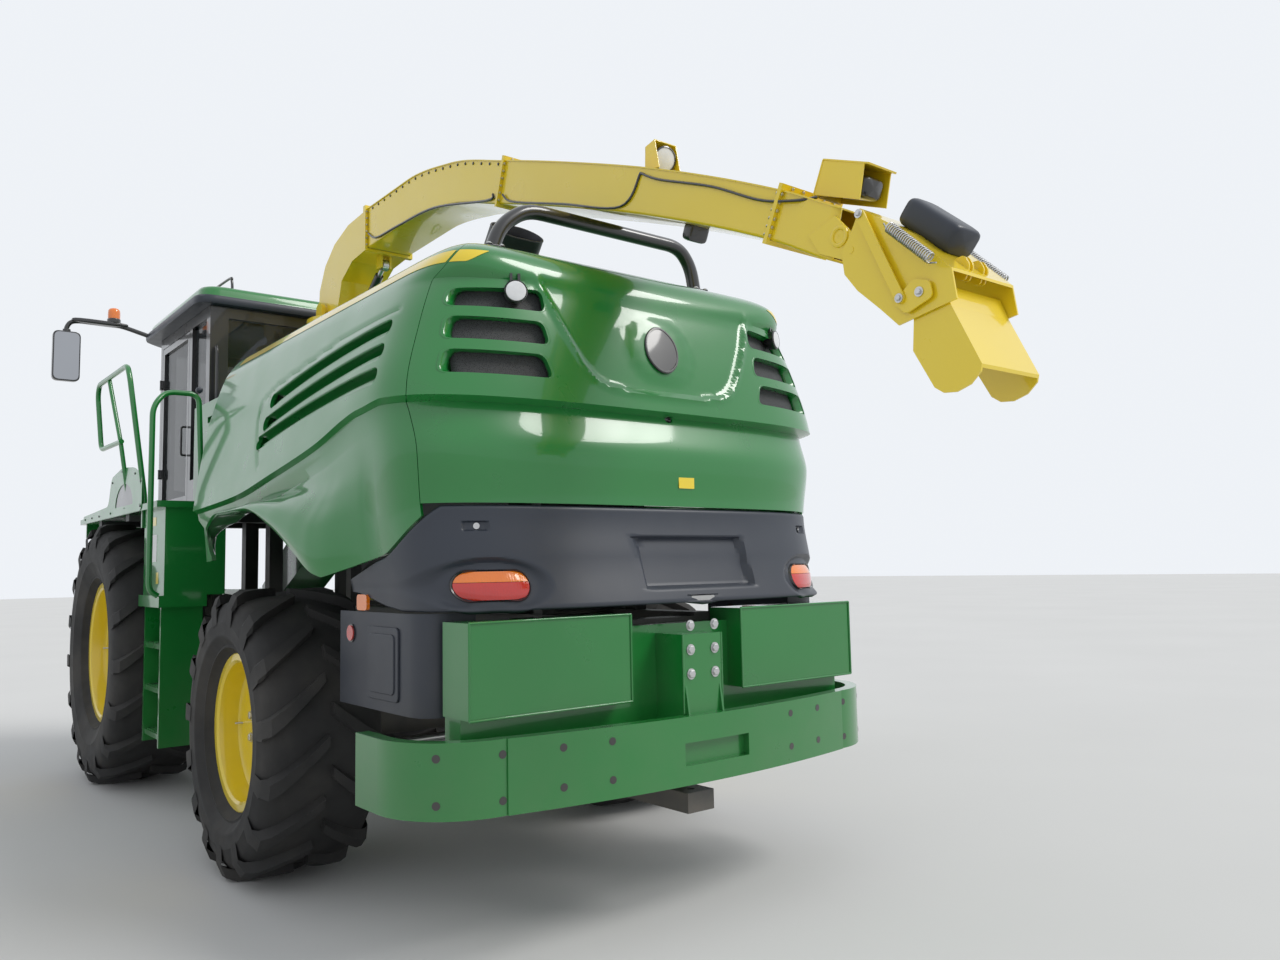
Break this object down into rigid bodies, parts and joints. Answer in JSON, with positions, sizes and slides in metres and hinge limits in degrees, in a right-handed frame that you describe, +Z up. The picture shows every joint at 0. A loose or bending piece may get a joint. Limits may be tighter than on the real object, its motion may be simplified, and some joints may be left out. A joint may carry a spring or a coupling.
{
  "type": "self-propelled forage harvester",
  "caption": "Self-propelled forage harvester with glazed cab, lugged tyres, louvred hood, rear ballast bar and a long turning discharge spout with deflector flaps.",
  "frame": {"origin": "on the ground below the middle of the machine's bounding box", "axes": "+X forward along the machine's length, +Y to its left, +Z up"},
  "size_m": [8.98, 3.52, 4.335],
  "materials": {
    "frame_paint": "satin",
    "engine_iron": "matt",
    "bright_steel": "ground",
    "tyre_rubber": "worn",
    "yellow_paint": "gloss",
    "green_paint": "gloss",
    "cab_frame": "satin",
    "tinted_glass": "tinted",
    "seat_fabric": "woven",
    "dark_plastic": "grained",
    "lamp_lens": "clear coat over colour",
    "exhaust_steel": "heat dulled",
    "black_paint": "satin"
  },
  "bodies": {
    "chassis": {"frame_rails": "frame_paint", "cross_members": "frame_paint", "cab_carriers": "frame_paint", "engine": "engine_iron", "front_axle": "frame_paint", "rear_axle": "frame_paint", "cab_shell": "cab_frame", "cab_roof": "green_paint", "cab_glass": "tinted_glass", "cab_seat": "seat_fabric", "platform_left": "green_paint", "platform_right": "green_paint", "handrails": "green_paint", "front_cowl": "green_paint", "top_deck": "green_paint", "tail_panel": "dark_plastic", "lamps": "lamp_lens", "ballast": "green_paint", "tow_hitch": "frame_paint", "exhaust": "exhaust_steel", "spout_cradle": "black_paint", "chute": "green_paint", "mirrors": "dark_plastic", "cutter_housing": "green_paint"},
    "knuckle_left": {"knuckle_left": "frame_paint"},
    "knuckle_right": {"knuckle_right": "frame_paint"},
    "tie_rod": {"tie_rod": "bright_steel"},
    "wheel_front_left": {"rim_front_left": "yellow_paint", "tyre_front_left": "tyre_rubber"},
    "wheel_front_right": {"rim_front_right": "yellow_paint", "tyre_front_right": "tyre_rubber"},
    "wheel_rear_left": {"rim_rear_left": "yellow_paint", "tyre_rear_left": "tyre_rubber"},
    "wheel_rear_right": {"rim_rear_right": "yellow_paint", "tyre_rear_right": "tyre_rubber"},
    "cab_door": {"cab_door": "cab_frame", "door_glass": "tinted_glass"},
    "panel_left": {"side_panel_left": "green_paint", "grille_left": "black_paint"},
    "panel_right": {"side_panel_right": "green_paint", "grille_right": "black_paint"},
    "hood": {"rear_hood": "green_paint"},
    "turntable": {"spout_ring": "yellow_paint"},
    "spout": {"spout_elbow": "yellow_paint", "spout_boom": "yellow_paint", "boom_top": "yellow_paint", "boom_bottom": "yellow_paint", "spout_collars": "yellow_paint", "spout_fittings": "dark_plastic"},
    "lift_barrel": {"lift_barrel": "black_paint"},
    "lift_rod": {"lift_rod": "bright_steel"},
    "flap_upper": {"flap_upper": "yellow_paint"},
    "flap_lower": {"flap_lower": "yellow_paint"},
    "intake": {"feed_housing": "green_paint"},
    "roll_upper": {"feed_roll_upper": "bright_steel"},
    "roll_lower": {"feed_roll_lower": "bright_steel"},
    "intake_barrels": {"intake_barrels": "black_paint"},
    "intake_rods": {"intake_rods": "bright_steel"}
  },
  "joints": [
    {"name": "spin_front_left", "type": "hinge", "parent": "chassis", "child": "wheel_front_left", "pos_m": [2.65, 1.213, 1.02], "axis": [0, 1, 0], "continuous": true},
    {"name": "spin_front_right", "type": "hinge", "parent": "chassis", "child": "wheel_front_right", "pos_m": [2.65, -1.213, 1.02], "axis": [0, 1, 0], "continuous": true},
    {"name": "steer_left", "type": "hinge", "parent": "chassis", "child": "knuckle_left", "pos_m": [-0.66, 0.79, 0.767], "axis": [0, 0, 1], "range_deg": [-40, 40]},
    {"name": "steer_right", "type": "hinge", "parent": "chassis", "child": "knuckle_right", "pos_m": [-0.66, -0.79, 0.767], "axis": [0, 0, 1], "range_deg": [-40, 40]},
    {"name": "tie_rod_turn", "type": "hinge", "parent": "knuckle_left", "child": "tie_rod", "pos_m": [-0.92, 0.79, 0.677], "axis": [0, 0, 1], "range_deg": [-40, 40]},
    {"name": "spin_rear_left", "type": "hinge", "parent": "knuckle_left", "child": "wheel_rear_left", "pos_m": [-0.66, 1.185, 0.767], "axis": [0, 1, 0], "continuous": true},
    {"name": "spin_rear_right", "type": "hinge", "parent": "knuckle_right", "child": "wheel_rear_right", "pos_m": [-0.66, -1.185, 0.767], "axis": [0, 1, 0], "continuous": true},
    {"name": "door_swing", "type": "hinge", "parent": "chassis", "child": "cab_door", "pos_m": [3.378, 0.915, 2.9], "axis": [0, 0, -1], "range_deg": [0, 75]},
    {"name": "panel_left_lift", "type": "hinge", "parent": "chassis", "child": "panel_left", "pos_m": [-1.15, 0.851, 3.16], "axis": [1, 0, 0], "range_deg": [0, 60]},
    {"name": "panel_right_lift", "type": "hinge", "parent": "chassis", "child": "panel_right", "pos_m": [-1.15, -0.851, 3.16], "axis": [-1, 0, 0], "range_deg": [0, 60]},
    {"name": "hood_lift", "type": "hinge", "parent": "chassis", "child": "hood", "pos_m": [-2.231, 0, 3.16], "axis": [0, 1, 0], "range_deg": [0, 50]},
    {"name": "spout_turn", "type": "hinge", "parent": "chassis", "child": "turntable", "pos_m": [1.3, 0, 3.56], "axis": [0, 0, 1], "range_deg": [-100, 100]},
    {"name": "spout_lift", "type": "hinge", "parent": "turntable", "child": "spout", "pos_m": [1.36, 0, 3.71], "axis": [0, 1, 0], "range_deg": [0, 35]},
    {"name": "lift_barrel_swing", "type": "hinge", "parent": "turntable", "child": "lift_barrel", "pos_m": [1, 0, 3.67], "axis": [0, 1, 0], "range_deg": [-2, 50]},
    {"name": "lift_rod_slide", "type": "slide", "parent": "lift_barrel", "child": "lift_rod", "axis": [-0.8253, 0, 0.5647], "range_m": [-0.02, 0.21]},
    {"name": "flap_tilt", "type": "hinge", "parent": "spout", "child": "flap_upper", "pos_m": [-3.955, 0, 2.788], "axis": [0, -1, 0], "range_deg": [-15, 35]},
    {"name": "flap_tip_tilt", "type": "hinge", "parent": "flap_upper", "child": "flap_lower", "pos_m": [-4.275, 0, 2.542], "axis": [0, -1, 0], "range_deg": [-15, 35]},
    {"name": "intake_lift", "type": "hinge", "parent": "chassis", "child": "intake", "pos_m": [3.13, 0, 1.18], "axis": [0, -1, 0], "range_deg": [-8, 14]},
    {"name": "intake_barrel_swing", "type": "hinge", "parent": "chassis", "child": "intake_barrels", "pos_m": [2.82, 0, 0.85], "axis": [0, -1, 0], "range_deg": [-8, 12]},
    {"name": "intake_rod_slide", "type": "slide", "parent": "intake_barrels", "child": "intake_rods", "axis": [0.9992, 0, 0.0388], "range_m": [-0.06, 0.1]},
    {"name": "spin_roll_upper", "type": "hinge", "parent": "intake", "child": "roll_upper", "pos_m": [4.1, 0, 1.255], "axis": [0, 1, 0], "continuous": true},
    {"name": "spin_roll_lower", "type": "hinge", "parent": "intake", "child": "roll_lower", "pos_m": [4.1, 0, 0.99], "axis": [0, 1, 0], "continuous": true}
  ],
  "couplings": [
    {"joint": "steer_right", "follows": "steer_left", "ratio": 1},
    {"joint": "tie_rod_turn", "follows": "steer_left", "ratio": -1},
    {"joint": "lift_barrel_swing", "follows": "spout_lift", "ratio": 1.3282},
    {"joint": "lift_rod_slide", "follows": "spout_lift", "m_per_rad": 0.30617},
    {"joint": "flap_tip_tilt", "follows": "flap_tilt", "ratio": 0.8},
    {"joint": "intake_barrel_swing", "follows": "intake_lift", "ratio": 0.68169},
    {"joint": "intake_rod_slide", "follows": "intake_lift", "m_per_rad": 0.30544}
  ]
}
